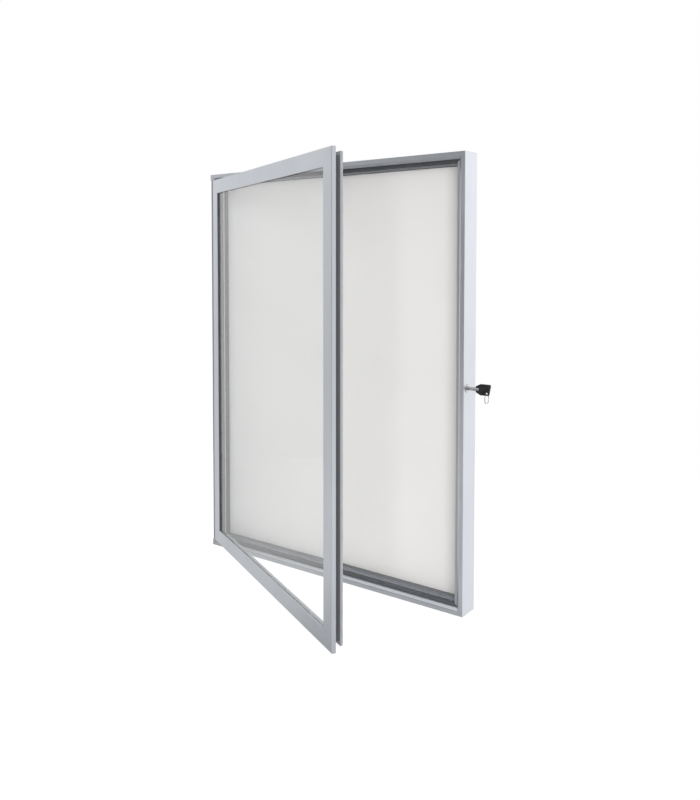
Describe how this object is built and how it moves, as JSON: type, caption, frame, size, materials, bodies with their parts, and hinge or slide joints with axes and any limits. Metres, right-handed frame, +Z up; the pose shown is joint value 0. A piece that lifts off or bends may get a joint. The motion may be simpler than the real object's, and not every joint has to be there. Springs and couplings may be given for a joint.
{
  "type": "lockable notice board",
  "caption": "Shallow wall-mounted aluminium display case with a side-hinged glazed door, edge lock with key, and a plain white magnetic panel.",
  "frame": {"origin": "centre of the four mounting inserts, on the rear plane of the case", "axes": "+X to the right seen from the front, +Y back towards the wall, +Z up"},
  "size_m": [0.7884, 0.3968, 1],
  "materials": {
    "anodised_aluminium": "satin anodised",
    "cast_cleat": "as cast",
    "zinc_steel": "zinc plated",
    "nickel_plate": "satin nickel",
    "white_enamel": "satin white enamel",
    "backing": "matt grey board",
    "clear_acrylic": "clear polished",
    "seal_rubber": "matt",
    "white_nylon": "plain",
    "black_plastic": "fine moulded texture"
  },
  "bodies": {
    "case": {"case_hinge_stile": "anodised_aluminium", "case_bottom_rail": "anodised_aluminium", "case_lock_stile": "anodised_aluminium", "case_top_rail": "anodised_aluminium", "case_cleat_bottom_left": "cast_cleat", "case_cleat_bottom_right": "cast_cleat", "case_cleat_top_right": "cast_cleat", "case_cleat_top_left": "cast_cleat", "case_cleat_screws": "zinc_steel", "display_panel": "white_enamel", "backing_board": "backing", "mounting_inserts": "zinc_steel", "hinge_channel": "anodised_aluminium", "hinge_channel_screws": "zinc_steel", "hinge_washers": "white_nylon", "lock_barrel": "nickel_plate", "lock_nut": "nickel_plate"},
    "door": {"door_hinge_stile": "anodised_aluminium", "door_bottom_rail": "anodised_aluminium", "door_lock_stile": "anodised_aluminium", "door_top_rail": "anodised_aluminium", "door_cleat_bottom_left": "cast_cleat", "door_cleat_bottom_right": "cast_cleat", "door_cleat_top_right": "cast_cleat", "door_cleat_top_left": "cast_cleat", "door_cleat_screws": "zinc_steel", "glazing_pane": "clear_acrylic", "glazing_gasket_front": "seal_rubber", "glazing_gasket_rear": "seal_rubber", "glazing_bead_hinge_stile": "anodised_aluminium", "glazing_bead_bottom_rail": "anodised_aluminium", "glazing_bead_lock_stile": "anodised_aluminium", "glazing_bead_top_rail": "anodised_aluminium", "door_seal": "seal_rubber"},
    "lock_plug": {"lock_plug": "nickel_plate"},
    "lock_bolt": {"lock_bolt": "nickel_plate"},
    "key": {"key_stem": "nickel_plate", "key_bow": "black_plastic"},
    "key_ring": {"key_ring": "nickel_plate"}
  },
  "joints": [
    {"name": "door_hinge", "type": "hinge", "parent": "case", "child": "door", "pos_m": [-0.3623, -0.0523, 0], "axis": [0, 0, -1], "range_deg": [-28.5, 71.5]},
    {"name": "lock_turn", "type": "hinge", "parent": "case", "child": "lock_plug", "pos_m": [0.3675, -0.0397, -0.005], "axis": [-1, 0, 0], "range_deg": [0, 90]},
    {"name": "bolt_slide", "type": "slide", "parent": "case", "child": "lock_bolt", "axis": [-1, 0, 0], "range_m": [0, 0.0072]},
    {"name": "key_withdraw", "type": "slide", "parent": "lock_plug", "child": "key", "axis": [1, 0, 0], "range_m": [0, 0.02]},
    {"name": "ring_swing", "type": "hinge", "parent": "key", "child": "key_ring", "pos_m": [0.412, -0.0397, -0.0127], "axis": [0, 1, 0], "range_deg": [-60, 60]}
  ],
  "couplings": [
    {"joint": "bolt_slide", "follows": "lock_turn", "m_per_rad": 0.004583}
  ]
}
